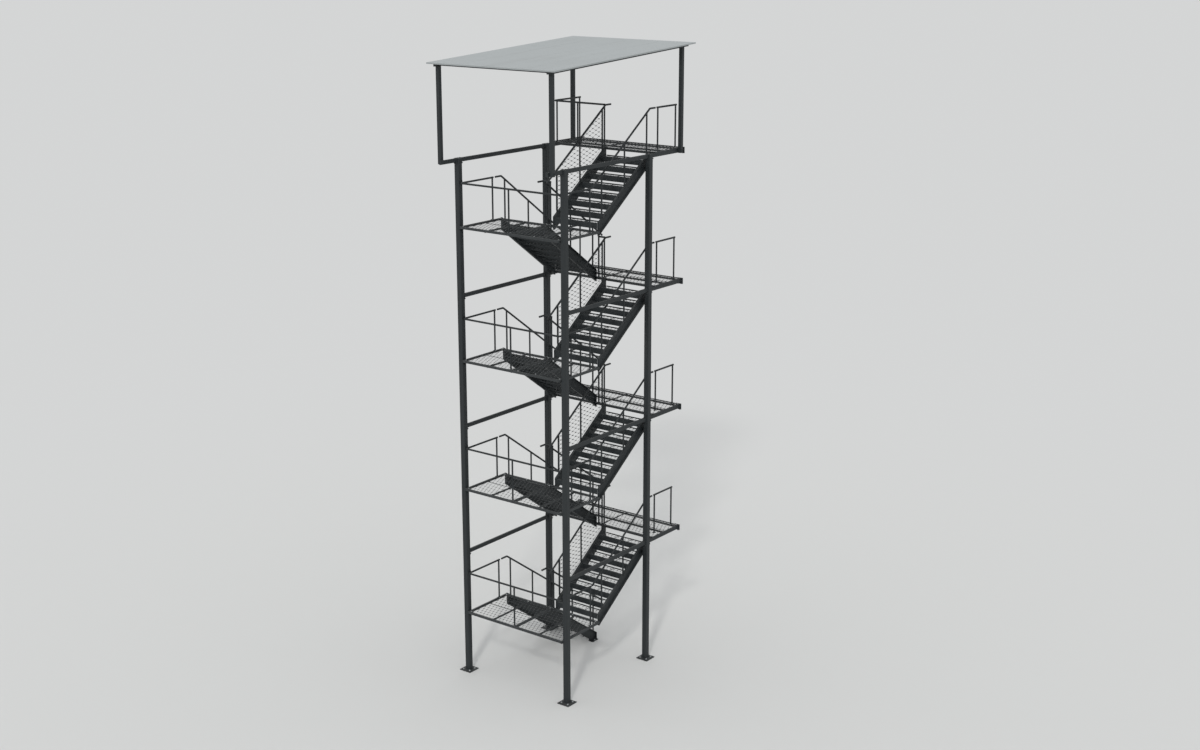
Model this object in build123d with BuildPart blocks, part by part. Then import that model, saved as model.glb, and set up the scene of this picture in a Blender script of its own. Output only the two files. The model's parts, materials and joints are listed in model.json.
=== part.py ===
from build123d import *
from math import atan, cos
import os

# Fire escape stair: a four-storey steel tower of two flights a storey, on four columns,
# tied back to a building wall and covered by a canopy.
# Frame: +X across the stair, +Y towards the wall, +Z up, in millimetres.
# The origin is on the ground, under the middle of the canopy.

# ---- Driving dimensions -------------------------------------------------------------

# Storeys
storeys = 4
storey_height = 3400.0
goings_per_flight = 8
going = 264.0

# Columns and base plates
column_spacing_x = 3300.0
column_spacing_y = 3400.0
column_side = 140.0
column_wall = 8.0
base_plate_side = 350.0
base_plate_thickness = 20.0
anchor_spacing = 204.0
anchor_hole = 22.0

# Side beams, their end plates and the plates on the wall
beam_width = 60.0
beam_height = 100.0
beam_wall = 6.0
end_plate_thickness = 12.0
end_plate_width = 120.0
end_plate_drop = 40.0
wall_distance = 1440.0
wall_plate_side = 160.0
wall_plate_thickness = 15.0
wall_bolt_spacing = 110.0
wall_bolt_hole = 18.0

# Gratings and landing frames
grating_thickness = 30.0
grating_gap = 3.0
wall_clearance = 30.0
edge_beam_width = 50.0
edge_beam_height = 60.0
joist_width = 40.0
joist_height = 50.0
joist_wall = 5.0
mid_landing_depth = 1575.0
mid_landing_reach = 110.0
mid_frame_height = 60.0
mid_frame_width = 40.0
mid_joist_count = 3
mid_joist_width = 10.0
mid_joist_height = 50.0
ledge_width = 40.0
ledge_thickness = 8.0
seat_length = 120.0
seat_width = 70.0
seat_thickness = 12.0
seat_rib_height = 90.0

# Flights
flight_width = 1440.0
flight_side_gap = 15.0
stringer_depth = 260.0
stringer_flange = 60.0
stringer_web = 8.0
stringer_flange_thickness = 10.0
stringer_rise = 12.0
tread_depth = 280.0
riser_height = 140.0
riser_thickness = 5.0
tread_end_height = 70.0
tread_end_thickness = 6.0
foot_plate_width = 150.0
foot_plate_length = 240.0
foot_anchor_spacing = 104.0
foot_anchor_hole = 18.0

# Guards and handrails
guard_height = 1090.0
rail_diameter = 48.0
rail_bend_radius = 75.0
post_side = 30.0
guard_end_gap = 45.0
post_foot_side = 80.0
post_foot_thickness = 8.0
guard_setback = 45.0
bracket_plate_width = 60.0
bracket_plate_height = 90.0
bracket_plate_thickness = 6.0
bracket_arm_side = 20.0
hoop_gap = 24.0
wall_end_gap = 120.0

# Mesh panels between the flights
panel_frame_width = 25.0
panel_frame_thickness = 8.0
panel_mesh_thickness = 4.0
panel_bottom_gap = 60.0
panel_top_gap = 70.0

# Canopy
canopy_post_side = 100.0
canopy_post_wall = 5.0
canopy_front_reach = 540.0
canopy_rear_reach = 1250.0
outrigger_overrun = 60.0
roof_width = 3910.0
roof_depth = 5660.0
roof_front_reach = 720.0
canopy_headroom = 2300.0
roof_rise = 320.0
roof_panel_thickness = 25.0
roof_trim_thickness = 3.0
roof_trim_height = 32.0
rafter_width = 100.0
rafter_height = 70.0
rafter_end_setback = 60.0
purlin_count = 5
purlin_side = 50.0
purlin_end_setback = 150.0

# ---- Derived places -----------------------------------------------------------------

rise = storey_height / (2 * (goings_per_flight + 1))
pitch = atan(rise / going)
flight_run = goings_per_flight * going

column_x = column_spacing_x / 2
front_y = roof_front_reach - roof_depth / 2
rear_y = front_y + column_spacing_y
wall_y = rear_y + wall_distance
mid_front_y = front_y - mid_landing_reach
mid_rear_y = mid_front_y + mid_landing_depth
door_front_y = mid_rear_y + flight_run
door_rear_y = wall_y - wall_clearance
column_top = storeys * storey_height - grating_thickness

beam_inner_x = column_x - beam_width / 2
beam_outer_x = column_x + beam_width / 2
mid_half_width = column_x - column_side / 2
flight_outer_x = mid_half_width - flight_side_gap
flight_inner_x = flight_outer_x - flight_width
outer_rail_x = flight_outer_x - stringer_flange / 2
inner_rail_x = flight_inner_x + stringer_flange / 2

stringer_top_offset = stringer_rise / cos(pitch)
stringer_vertical_depth = stringer_depth / cos(pitch)
flange_vertical_depth = stringer_flange_thickness / cos(pitch)

roof_front_height = storeys * storey_height + canopy_headroom
roof_slope = roof_rise / roof_depth
roof_pitch = atan(roof_slope)
canopy_front_y = front_y - canopy_front_reach
canopy_rear_y = rear_y + canopy_rear_reach
canopy_post_x = beam_outer_x + canopy_post_side / 2

os.makedirs("parts", exist_ok=True)


def finish(builder, name):
    """Labels a finished piece and writes its STEP file."""
    builder.part.label = name
    export_step(builder.part, f"parts/{name}.step")


def level_z(level):
    """Height of the walking surface at a door level."""
    return level * storey_height


def mid_z(storey):
    """Height of the landing halfway up a storey."""
    return (storey - 0.5) * storey_height


def roof_underside(y):
    """Height of the roof panel's underside at a place along Y."""
    top = roof_front_height + (y + roof_depth / 2) * roof_slope
    return top - roof_panel_thickness / cos(roof_pitch)


def rafter_underside(y):
    """Height of the rafters' underside at a place along Y."""
    return roof_underside(y) - rafter_height / cos(roof_pitch)


# ---- Members, added to the piece being built ----------------------------------------

def plate(center, size):
    """A flat plate or bar, by its centre and its three sizes."""
    with Locations(center):
        Box(*size)


def hollow_profile(width, height, wall):
    """A rolled hollow section's outline, in the sketch being drawn: its corners follow the wall."""
    RectangleRounded(width, height, 2 * wall)
    RectangleRounded(width - 2 * wall, height - 2 * wall, wall, mode=Mode.SUBTRACT)


def tube_along_y(x, top, low_y, high_y, width, height, wall):
    """A hollow section that runs along Y, by the height of its top."""
    start = Plane(origin=(x, low_y, top - height / 2), x_dir=(1, 0, 0), z_dir=(0, 1, 0))
    with BuildSketch(start) as section:
        hollow_profile(width, height, wall)
    extrude(section.sketch, amount=high_y - low_y)


def tube_along_x(y, top, low_x, high_x, width, height, wall):
    """A hollow section that runs along X, by the height of its top."""
    start = Plane(origin=(low_x, y, top - height / 2), x_dir=(0, 1, 0), z_dir=(1, 0, 0))
    with BuildSketch(start) as section:
        hollow_profile(width, height, wall)
    extrude(section.sketch, amount=high_x - low_x)


def side_slab(low_x, high_x, outline, mode=Mode.ADD):
    """A slab between two places along X, by its outline of (y, z) points."""
    with BuildSketch(Plane.YZ.offset(low_x)) as side:
        with BuildLine():
            Polyline(*outline, close=True)
        make_face()
    extrude(side.sketch, amount=high_x - low_x, mode=mode)


def round_rail(points, radius):
    """A round tube rail along a route of straight runs with bends."""
    with BuildLine() as route:
        if len(points) > 2:
            FilletPolyline(*points, radius=radius)
        else:
            Line(*points)
    with BuildSketch(route.line ^ 0) as section:
        Circle(rail_diameter / 2)
    sweep(section.sketch, path=route.line)


def rail_elbow(center, side):
    """A quarter bend from a front rail to the side rail on its left or right."""
    with BuildLine() as route:
        CenterArc(center, rail_bend_radius, -90, 90 * side)
    with BuildSketch(route.line ^ 0) as section:
        Circle(rail_diameter / 2)
    sweep(section.sketch, path=route.line)


def guard_post(x, y, floor):
    """An upright on a foot plate, from the floor to the middle of the rail."""
    plate((x, y, floor + post_foot_thickness / 2), (post_foot_side, post_foot_side, post_foot_thickness))
    height = guard_height - rail_diameter / 2 - post_foot_thickness
    plate((x, y, floor + post_foot_thickness + height / 2), (post_side, post_side, height))


def rail_z(floor):
    """Height of a landing rail's centre line."""
    return floor + guard_height - rail_diameter / 2


# ---- Columns and base plates --------------------------------------------------------

column_places = {
    "front_left": (-column_x, front_y),
    "front_right": (column_x, front_y),
    "rear_left": (-column_x, rear_y),
    "rear_right": (column_x, rear_y),
}

for place, (x, y) in column_places.items():
    inward = 1 if x < 0 else -1
    with BuildPart() as column:
        with BuildSketch(Plane.XY.offset(base_plate_thickness)):
            with Locations((x, y)):
                hollow_profile(column_side, column_side, column_wall)
        extrude(amount=column_top - base_plate_thickness)
        with BuildSketch(Plane.XY.offset(column_top - column_wall)):
            with Locations((x, y)):
                RectangleRounded(column_side, column_side, 2 * column_wall)
        extrude(amount=column_wall)
        if y == front_y:
            for storey in range(1, storeys + 1):
                seat_z = mid_z(storey) - mid_frame_height
                seat_x = x + inward * (column_side + seat_width) / 2
                plate((seat_x, y, seat_z - seat_thickness / 2), (seat_width, seat_length, seat_thickness))
                rib_z = seat_z - seat_thickness
                rib_root = x + inward * column_side / 2
                with BuildSketch(Plane.XZ.offset(-y - seat_thickness / 2)):
                    with BuildLine():
                        Polyline(
                            (rib_root, rib_z),
                            (rib_root + inward * seat_width, rib_z),
                            (rib_root, rib_z - seat_rib_height),
                            close=True,
                        )
                    make_face()
                extrude(amount=seat_thickness)
    finish(column, f"column_{place}")

with BuildPart() as base_plates:
    with BuildSketch(Plane.XY):
        with Locations(*column_places.values()):
            Rectangle(base_plate_side, base_plate_side)
        for x, y in column_places.values():
            with Locations((x, y)):
                with GridLocations(anchor_spacing, anchor_spacing, 2, 2):
                    Circle(anchor_hole / 2, mode=Mode.SUBTRACT)
    extrude(amount=base_plate_thickness)
finish(base_plates, "base_plates")

# ---- Side beams ---------------------------------------------------------------------


def end_plate(x, y, beam_top):
    """A bolted end plate on a side beam, by the middle of its thickness."""
    height = beam_height + end_plate_drop
    plate((x, y, beam_top - height / 2), (end_plate_width, end_plate_thickness, height))


for level in range(1, storeys + 1):
    beam_top = level_z(level) - grating_thickness
    front_face = front_y + column_side / 2
    rear_face = rear_y - column_side / 2
    back_face = rear_y + column_side / 2
    with BuildPart() as side_beams:
        for x in (-column_x, column_x):
            end_plate(x, front_face + end_plate_thickness / 2, beam_top)
            tube_along_y(
                x, beam_top, front_face + end_plate_thickness, rear_face - end_plate_thickness,
                beam_width, beam_height, beam_wall,
            )
            end_plate(x, rear_face - end_plate_thickness / 2, beam_top)
            end_plate(x, back_face + end_plate_thickness / 2, beam_top)
            tube_along_y(
                x, beam_top, back_face + end_plate_thickness, wall_y - wall_plate_thickness,
                beam_width, beam_height, beam_wall,
            )
            wall_plate = Plane(
                origin=(x, wall_y - wall_plate_thickness, beam_top - beam_height / 2),
                x_dir=(1, 0, 0), z_dir=(0, 1, 0),
            )
            with BuildSketch(wall_plate):
                Rectangle(wall_plate_side, wall_plate_side)
                with GridLocations(wall_bolt_spacing, wall_bolt_spacing, 2, 2):
                    Circle(wall_bolt_hole / 2, mode=Mode.SUBTRACT)
            extrude(amount=wall_plate_thickness)
            if level == storeys:
                outer_face = front_y - column_side / 2
                tip = canopy_front_y - canopy_post_side / 2 - outrigger_overrun
                end_plate(x, outer_face - end_plate_thickness / 2, beam_top)
                tube_along_y(
                    x, beam_top, tip, outer_face - end_plate_thickness,
                    beam_width, beam_height, beam_wall,
                )
    finish(side_beams, f"side_beams_{level}")

# ---- Door landings ------------------------------------------------------------------

for level in range(1, storeys + 1):
    floor = level_z(level)
    joist_top = floor - grating_thickness
    rear_joist_y = door_rear_y - joist_width
    first_joist_y = door_front_y + edge_beam_width
    with BuildPart() as door_landing_frame:
        tube_along_x(
            door_front_y + edge_beam_width / 2, floor, -beam_inner_x, beam_inner_x,
            edge_beam_width, edge_beam_height, joist_wall,
        )
        for joist_y in ((first_joist_y + rear_joist_y) / 2, rear_joist_y):
            tube_along_x(
                joist_y, joist_top, -beam_inner_x, beam_inner_x,
                joist_width, joist_height, joist_wall,
            )
    finish(door_landing_frame, f"door_landing_frame_{level}")


# ---- Landings halfway up each storey ------------------------------------------------

for storey in range(1, storeys + 1):
    floor = mid_z(storey)
    mid_center_y = (mid_front_y + mid_rear_y) / 2
    member = mid_frame_width
    inner_half_width = mid_half_width - member
    inner_front_y = mid_front_y + member
    inner_rear_y = mid_rear_y - member
    ledge_z = floor - grating_thickness - ledge_thickness / 2
    with BuildPart() as mid_landing_frame:
        for x in (-mid_half_width + member / 2, mid_half_width - member / 2):
            tube_along_y(x, floor, mid_front_y, mid_rear_y, member, mid_frame_height, joist_wall)
        for y in (mid_front_y + member / 2, mid_rear_y - member / 2):
            tube_along_x(
                y, floor, -inner_half_width, inner_half_width,
                member, mid_frame_height, joist_wall,
            )
        for x in (-inner_half_width + ledge_width / 2, inner_half_width - ledge_width / 2):
            plate((x, mid_center_y, ledge_z), (ledge_width, inner_rear_y - inner_front_y, ledge_thickness))
        mid_joist_z = floor - grating_thickness - mid_joist_height / 2
        mid_joist_pitch = 2 * inner_half_width / (mid_joist_count + 1)
        for number in range(1, mid_joist_count + 1):
            mid_joist_x = number * mid_joist_pitch - inner_half_width
            plate(
                (mid_joist_x, mid_center_y, mid_joist_z),
                (mid_joist_width, inner_rear_y - inner_front_y, mid_joist_height),
            )
    finish(mid_landing_frame, f"mid_landing_frame_{storey}")

    door_grating_low_y = door_front_y + edge_beam_width + grating_gap
    mid_grating_size = (
        2 * (inner_half_width - grating_gap),
        inner_rear_y - inner_front_y - 2 * grating_gap,
        grating_thickness,
    )
    with BuildPart() as gratings:
        plate((0, mid_center_y, floor - grating_thickness / 2), mid_grating_size)
        plate(
            (0, (door_grating_low_y + door_rear_y) / 2, level_z(storey) - grating_thickness / 2),
            (2 * beam_outer_x, door_rear_y - door_grating_low_y, grating_thickness),
        )
    finish(gratings, f"gratings_{storey}")

# ---- Flights ------------------------------------------------------------------------
# The left flight of a storey climbs away from the wall, the right one towards it.


class Flight:
    """Where one flight stands: its side, its lower edge and the way it climbs."""

    def __init__(self, storey, side):
        self.storey = storey
        self.side = side
        self.base = level_z(storey - 1) if side == "left" else mid_z(storey)
        self.low_y = door_front_y if side == "left" else mid_rear_y
        self.way = -1 if side == "left" else 1
        self.sign = -1 if side == "left" else 1

    def along(self, distance):
        """The Y of a point that is a distance up the flight from its lower edge."""
        return self.low_y + self.way * distance

    def nosing(self, distance):
        """Height of the line over the tread edges."""
        return self.base + rise + distance * rise / going

    def top_edge(self, distance):
        """Height of the stringer's top edge."""
        return self.nosing(distance) + stringer_top_offset

    def bottom_edge(self, distance):
        """Height of the stringer's bottom edge."""
        return self.top_edge(distance) - stringer_vertical_depth

    def rail(self, distance):
        """Height of the handrail's centre line."""
        return self.nosing(distance) + guard_height - rail_diameter / 2

    def band(self, start, end, trim):
        """Outline of the stringer between two distances, drawn in by a trim all round."""
        outline = [(self.along(d), self.top_edge(d) - trim) for d in (end, start)]
        foot = start
        cut_off = base_plate_thickness - self.bottom_edge(start)
        if self.base == 0 and cut_off > 0:
            foot = start + cut_off * going / rise
            outline.append((self.along(start), base_plate_thickness + trim))
        low = [(self.along(d), self.bottom_edge(d) + trim) for d in (foot, end)]
        return outline + low


flights = [Flight(storey, side) for storey in range(1, storeys + 1) for side in ("left", "right")]
post_distances = (going / 2, flight_run / 2, flight_run - going / 2)


def stringer(flight, flange_x, web_x):
    """A channel stringer with closed ends, its web at web_x and its flanges out to flange_x."""
    step = 1 if flange_x > web_x else -1
    low_x, high_x = sorted((flange_x, web_x))
    side_slab(low_x, high_x, flight.band(0, flight_run, 0))
    hollow_low, hollow_high = sorted((web_x + step * stringer_web, flange_x))
    hollow_end = flight_run - stringer_flange_thickness
    hollow = flight.band(stringer_flange_thickness, hollow_end, flange_vertical_depth)
    side_slab(hollow_low, hollow_high, hollow, mode=Mode.SUBTRACT)


def foot_plate(x, y):
    """A plate on the ground under the foot of a stringer, with an anchor hole each side."""
    with BuildSketch(Plane.XY) as outline:
        with Locations((x, y)):
            Rectangle(foot_plate_width, foot_plate_length)
            with GridLocations(foot_anchor_spacing, foot_anchor_spacing, 2, 1):
                Circle(foot_anchor_hole / 2, mode=Mode.SUBTRACT)
    extrude(outline.sketch, amount=base_plate_thickness)


def tread(flight, number):
    """A grating tread with a riser plate at its front, bolted between the stringer webs."""
    top = flight.base + number * rise
    nose = (number - 1) * going
    heel = nose + tread_depth
    riser_back = nose + riser_thickness
    section = [
        (nose, 0), (heel, 0), (heel, -grating_thickness), (riser_back, -grating_thickness),
        (riser_back, -riser_height), (nose, -riser_height),
    ]
    ends = [(nose, 0), (heel, 0), (heel, -tread_end_height), (nose, -riser_height)]
    outer_web_x = flight.sign * (flight_outer_x - stringer_flange)
    inner_web_x = flight.sign * (flight_inner_x + stringer_flange)
    low_x, high_x = sorted((outer_web_x, inner_web_x))
    side_slab(low_x, high_x, [(flight.along(d), top + z) for d, z in section])
    for end_x in (low_x, high_x - tread_end_thickness):
        side_slab(end_x, end_x + tread_end_thickness, [(flight.along(d), top + z) for d, z in ends])


for storey in range(1, storeys + 1):
    storey_flights = [flight for flight in flights if flight.storey == storey]
    with BuildPart() as stringers:
        for flight in storey_flights:
            outer_x = flight.sign * flight_outer_x
            inner_x = flight.sign * flight_inner_x
            stringer(flight, outer_x, outer_x - flight.sign * stringer_flange)
            stringer(flight, inner_x, inner_x + flight.sign * stringer_flange)
            if flight.base == 0:
                foot_plate(flight.sign * inner_rail_x, flight.along(foot_plate_length / 2))
                anchor_y = rear_y + anchor_spacing / 2
                with BuildSketch(Plane.XY) as anchor:
                    with Locations((flight.sign * (column_x - anchor_spacing / 2), anchor_y)):
                        Circle(anchor_hole / 2)
                anchor_reach = base_plate_thickness + 2 * flange_vertical_depth
                extrude(anchor.sketch, amount=anchor_reach, mode=Mode.SUBTRACT)
    finish(stringers, f"stringers_{storey}")

    with BuildPart() as treads:
        for flight in storey_flights:
            for number in range(1, goings_per_flight + 1):
                tread(flight, number)
    finish(treads, f"treads_{storey}")

# ---- Handrails of the flights -------------------------------------------------------


def flight_rail(flight, x):
    """A handrail on posts along one stringer, level at its head and past the last riser."""
    head = flight_run + going - guard_end_gap
    route = [
        (x, flight.along(-going), flight.rail(-going)),
        (x, flight.along(flight_run), flight.rail(flight_run)),
        (x, flight.along(head), flight.rail(flight_run)),
    ]
    round_rail(route, rail_bend_radius)
    for distance in post_distances:
        near, far = distance - post_side / 2, distance + post_side / 2
        outline = [(flight.along(d), flight.top_edge(d)) for d in (near, far)]
        outline = outline + [(flight.along(d), flight.rail(d)) for d in (far, near)]
        side_slab(x - post_side / 2, x + post_side / 2, outline)


for storey in range(1, storeys + 1):
    with BuildPart() as flight_rails:
        for flight in flights:
            if flight.storey == storey:
                for rail_x in (outer_rail_x, inner_rail_x):
                    flight_rail(flight, flight.sign * rail_x)
    finish(flight_rails, f"flight_rails_{storey}")

# ---- Mesh panels on the inner side of the right flights -----------------------------


def panel_outline(flight, inset):
    """A parallelogram between the stringer, the rail and the end posts."""
    start = post_distances[0] - post_side / 2 + inset
    end = post_distances[-1] + post_side / 2 - inset
    bottom_gap = panel_bottom_gap + inset / cos(pitch)
    top_gap = panel_top_gap + inset / cos(pitch)
    low = [(flight.along(d), flight.top_edge(d) + bottom_gap) for d in (start, end)]
    return low + [(flight.along(d), flight.rail(d) - top_gap) for d in (end, start)]


with BuildPart() as mesh_panels:
    for flight in flights:
        if flight.side == "right":
            panel_high_x = inner_rail_x - post_side / 2
            panel_low_x = panel_high_x - panel_frame_thickness
            mesh_low_x = (panel_low_x + panel_high_x - panel_mesh_thickness) / 2
            opening = panel_outline(flight, panel_frame_width)
            side_slab(panel_low_x, panel_high_x, panel_outline(flight, 0))
            side_slab(panel_low_x, panel_high_x, opening, mode=Mode.SUBTRACT)
            side_slab(mesh_low_x, mesh_low_x + panel_mesh_thickness, opening)
finish(mesh_panels, "mesh_panels")

# ---- Guards of the landings ---------------------------------------------------------


def well_hoop(y, floor):
    """A short guard across the gap between the two flights."""
    half = inner_rail_x - rail_diameter / 2 - hoop_gap
    round_rail([(-half, y, rail_z(floor)), (half, y, rail_z(floor))], rail_bend_radius)
    for x in (-half + post_side / 2, half - post_side / 2):
        guard_post(x, y, floor)


def column_bracket(side, y, floor):
    """An arm on a plate that holds a landing's rail to the column beside it."""
    plate_inner_x = mid_half_width - bracket_plate_thickness
    plate_x = side * (plate_inner_x + mid_half_width) / 2
    plate((plate_x, y, rail_z(floor)), (bracket_plate_thickness, bracket_plate_width, bracket_plate_height))
    arm_x = side * (guard_x + plate_inner_x) / 2
    plate((arm_x, y, rail_z(floor)), (plate_inner_x - guard_x, bracket_arm_side, bracket_arm_side))


guard_x = mid_half_width - guard_setback

guard_front_y = mid_front_y + guard_setback
elbow_x = guard_x - rail_bend_radius
elbow_y = guard_front_y + rail_bend_radius

for storey in range(1, storeys + 1):
    floor = mid_z(storey)
    height = rail_z(floor)
    rail_end_y = mid_rear_y - going - guard_end_gap
    with BuildPart() as mid_guard:
        round_rail([(-elbow_x, guard_front_y, height), (elbow_x, guard_front_y, height)], rail_bend_radius)
        guard_post(0, guard_front_y, floor)
        for side in (-1, 1):
            side_route = [(side * guard_x, elbow_y, height), (side * guard_x, rail_end_y, height)]
            round_rail(side_route, rail_bend_radius)
            guard_post(side * guard_x, rail_end_y - post_side, floor)
            column_bracket(side, front_y + bracket_plate_width / 2, floor)
        well_hoop(mid_rear_y - guard_setback, floor)
    finish(mid_guard, f"mid_guard_{storey}")

with BuildPart() as guard_elbows:
    for storey in range(1, storeys + 1):
        for side in (-1, 1):
            rail_elbow((side * elbow_x, elbow_y, rail_z(mid_z(storey))), side)
finish(guard_elbows, "guard_elbows")

for level in range(1, storeys + 1):
    floor = level_z(level)
    rail_start_y = door_front_y + going + guard_end_gap
    rail_end_y = wall_y - wall_end_gap
    edge_y = door_front_y + guard_setback
    with BuildPart() as door_guard:
        right_route = [(guard_x, rail_start_y, rail_z(floor)), (guard_x, rail_end_y, rail_z(floor))]
        round_rail(right_route, rail_bend_radius)
        for y in (rail_start_y + post_side, rail_end_y - post_side):
            guard_post(guard_x, y, floor)
        if level < storeys:
            left_route = [(-guard_x, rail_start_y, rail_z(floor)), (-guard_x, rail_end_y, rail_z(floor))]
            round_rail(left_route, rail_bend_radius)
            for y in (rail_start_y + post_side, rail_end_y - post_side):
                guard_post(-guard_x, y, floor)
            well_hoop(edge_y, floor)
        else:
            hoop_end = inner_rail_x - rail_diameter / 2 - hoop_gap
            head_route = [
                (-guard_x, rail_end_y, rail_z(floor)),
                (-guard_x, edge_y, rail_z(floor)),
                (hoop_end, edge_y, rail_z(floor)),
            ]
            round_rail(head_route, rail_bend_radius)
            corner = rail_bend_radius + post_side / 2
            guard_post(-guard_x, rail_end_y - post_side, floor)
            for x in (-guard_x + corner, -guard_x / 2, hoop_end - post_side / 2):
                guard_post(x, edge_y, floor)
    finish(door_guard, f"door_guard_{level}")

# ---- Canopy -------------------------------------------------------------------------

canopy_foot_z = column_top - beam_height
post_half = canopy_post_side / 2
post_outer_x = canopy_post_x + post_half
with BuildPart() as canopy_posts:
    for y in (canopy_front_y, canopy_rear_y):
        uncut_top = rafter_underside(y + post_half)
        with BuildSketch(Plane.XY.offset(canopy_foot_z)) as feet:
            with Locations((-canopy_post_x, y), (canopy_post_x, y)):
                hollow_profile(canopy_post_side, canopy_post_side, canopy_post_wall)
        extrude(feet.sketch, amount=uncut_top - canopy_foot_z)
        above_rafter = [
            (y - post_half, rafter_underside(y - post_half)),
            (y + post_half, uncut_top),
            (y - post_half, uncut_top),
        ]
        side_slab(-post_outer_x, post_outer_x, above_rafter, mode=Mode.SUBTRACT)
finish(canopy_posts, "canopy_posts")

rafter_low_y = -roof_depth / 2 + rafter_end_setback
rafter_high_y = roof_depth / 2 - rafter_end_setback
with BuildPart() as roof_frame:
    for x in (-canopy_post_x, canopy_post_x):
        outline = [
            (rafter_low_y, roof_underside(rafter_low_y)),
            (rafter_high_y, roof_underside(rafter_high_y)),
            (rafter_high_y, rafter_underside(rafter_high_y)),
            (rafter_low_y, rafter_underside(rafter_low_y)),
        ]
        side_slab(x - rafter_width / 2, x + rafter_width / 2, outline)
    purlin_half_length = canopy_post_x - rafter_width / 2
    first_purlin_y = -roof_depth / 2 + purlin_end_setback
    purlin_pitch = (roof_depth - 2 * purlin_end_setback) / (purlin_count - 1)
    for number in range(purlin_count):
        low_y = first_purlin_y + number * purlin_pitch - purlin_side / 2
        high_y = low_y + purlin_side
        outline = [
            (low_y, roof_underside(low_y)), (high_y, roof_underside(high_y)),
            (high_y, roof_underside(high_y) - purlin_side), (low_y, roof_underside(low_y) - purlin_side),
        ]
        side_slab(-purlin_half_length, purlin_half_length, outline)
finish(roof_frame, "roof_frame")


def roof_band(inset, low_drop, high_drop):
    """Outline of a band along the roof's slope, between two depths below its top."""
    low_y = -roof_depth / 2 + inset
    high_y = roof_depth / 2 - inset
    top = [roof_underside(y) + roof_panel_thickness / cos(roof_pitch) for y in (low_y, high_y)]
    return [
        (low_y, top[0] - high_drop), (high_y, top[1] - high_drop),
        (high_y, top[1] - low_drop), (low_y, top[0] - low_drop),
    ]


panel_drop = roof_panel_thickness / cos(roof_pitch)
with BuildPart() as roof_panel:
    half = roof_width / 2 - roof_trim_thickness
    side_slab(-half, half, roof_band(roof_trim_thickness, panel_drop, 0))
finish(roof_panel, "roof_panel")

with BuildPart() as roof_trim:
    half = roof_width / 2
    side_slab(-half, half, roof_band(0, roof_trim_height, 0))
    inner = half - roof_trim_thickness
    well = roof_band(roof_trim_thickness, 2 * roof_trim_height, -roof_trim_height)
    side_slab(-inner, inner, well, mode=Mode.SUBTRACT)
finish(roof_trim, "roof_trim")
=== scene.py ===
import json
import math

import bmesh
import bpy
from bpy.props import FloatProperty, FloatVectorProperty, IntProperty, PointerProperty
from bpy.types import Operator, Panel, PropertyGroup
from mathutils import Matrix, Vector


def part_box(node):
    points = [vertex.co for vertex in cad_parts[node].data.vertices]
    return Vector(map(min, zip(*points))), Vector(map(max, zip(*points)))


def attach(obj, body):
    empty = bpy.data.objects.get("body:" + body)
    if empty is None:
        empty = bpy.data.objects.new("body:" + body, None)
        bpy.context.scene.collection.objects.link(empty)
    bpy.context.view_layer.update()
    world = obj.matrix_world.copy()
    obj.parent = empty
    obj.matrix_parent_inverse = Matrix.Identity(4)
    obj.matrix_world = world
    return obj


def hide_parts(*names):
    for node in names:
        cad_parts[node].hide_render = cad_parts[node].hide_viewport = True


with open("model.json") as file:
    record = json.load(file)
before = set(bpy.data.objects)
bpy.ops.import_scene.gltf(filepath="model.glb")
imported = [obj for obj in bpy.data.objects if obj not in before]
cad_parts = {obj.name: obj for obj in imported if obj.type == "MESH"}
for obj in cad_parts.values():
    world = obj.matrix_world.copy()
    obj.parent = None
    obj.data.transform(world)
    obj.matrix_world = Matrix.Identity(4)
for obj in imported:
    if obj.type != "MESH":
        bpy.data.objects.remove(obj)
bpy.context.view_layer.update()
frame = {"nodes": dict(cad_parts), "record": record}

bl_info = {
    "name": "Fire Escape Stair",
    "version": (1, 0, 0),
    "blender": (4, 5, 0),
    "location": "View3D > Sidebar > Stair",
    "description": "Dresses a steel fire escape stair with open decks, bolts, welds and finishes",
    "category": "Object",
}

# ---- What the frame says -----------------------------------------------------------------

MOUNTS = {mount["name"]: mount for mount in frame["record"]["mounts"]}
MATERIALS = {row["slot"]: row for row in frame["record"]["materials"]}
SLOT_OF = {row["node"]: row["material_slot"] for row in frame["record"]["subparts"]}
STOREYS = range(1, 1 + sum(name.startswith("mid_landing_frame_") for name in frame["nodes"]))
MERGE = 0.00001
MILLIMETRE = 0.001


def slot_colour(slot):
    """The colour that the record gives to a slot."""
    return MATERIALS[slot]["base_color"][:3]


def solid_points(node):
    """Corner points of each separate solid of a CAD node."""
    solids = bmesh.new()
    solids.from_mesh(frame["nodes"][node].data)
    bmesh.ops.remove_doubles(solids, verts=solids.verts, dist=MERGE)
    seen = set()
    points = []
    for start in solids.verts:
        if start in seen:
            continue
        seen.add(start)
        reached = [start]
        for vert in reached:
            for edge in vert.link_edges:
                neighbour = edge.other_vert(vert)
                if neighbour not in seen:
                    seen.add(neighbour)
                    reached.append(neighbour)
        points.append([vert.co.copy() for vert in reached])
    solids.free()
    return points


def solid_boxes(node):
    """Lowest and highest corner of each separate solid of a CAD node."""
    boxes = []
    for points in solid_points(node):
        low = Vector([min(point[axis] for point in points) for axis in range(3)])
        high = Vector([max(point[axis] for point in points) for axis in range(3)])
        boxes.append((low, high))
    return sorted(boxes, key=lambda box: tuple(round(value, 3) for value in box[0]))


def marks(points, axis):
    """The different places along an axis at which a solid has corners."""
    return sorted({round(point[axis], 4) for point in points})


def door_floor(level):
    """Height of the walking surface at a door level."""
    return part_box(f"door_landing_frame_{level}")[1].z


def mid_floor(storey):
    """Height of the landing halfway up a storey."""
    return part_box(f"mid_landing_frame_{storey}")[1].z


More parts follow.
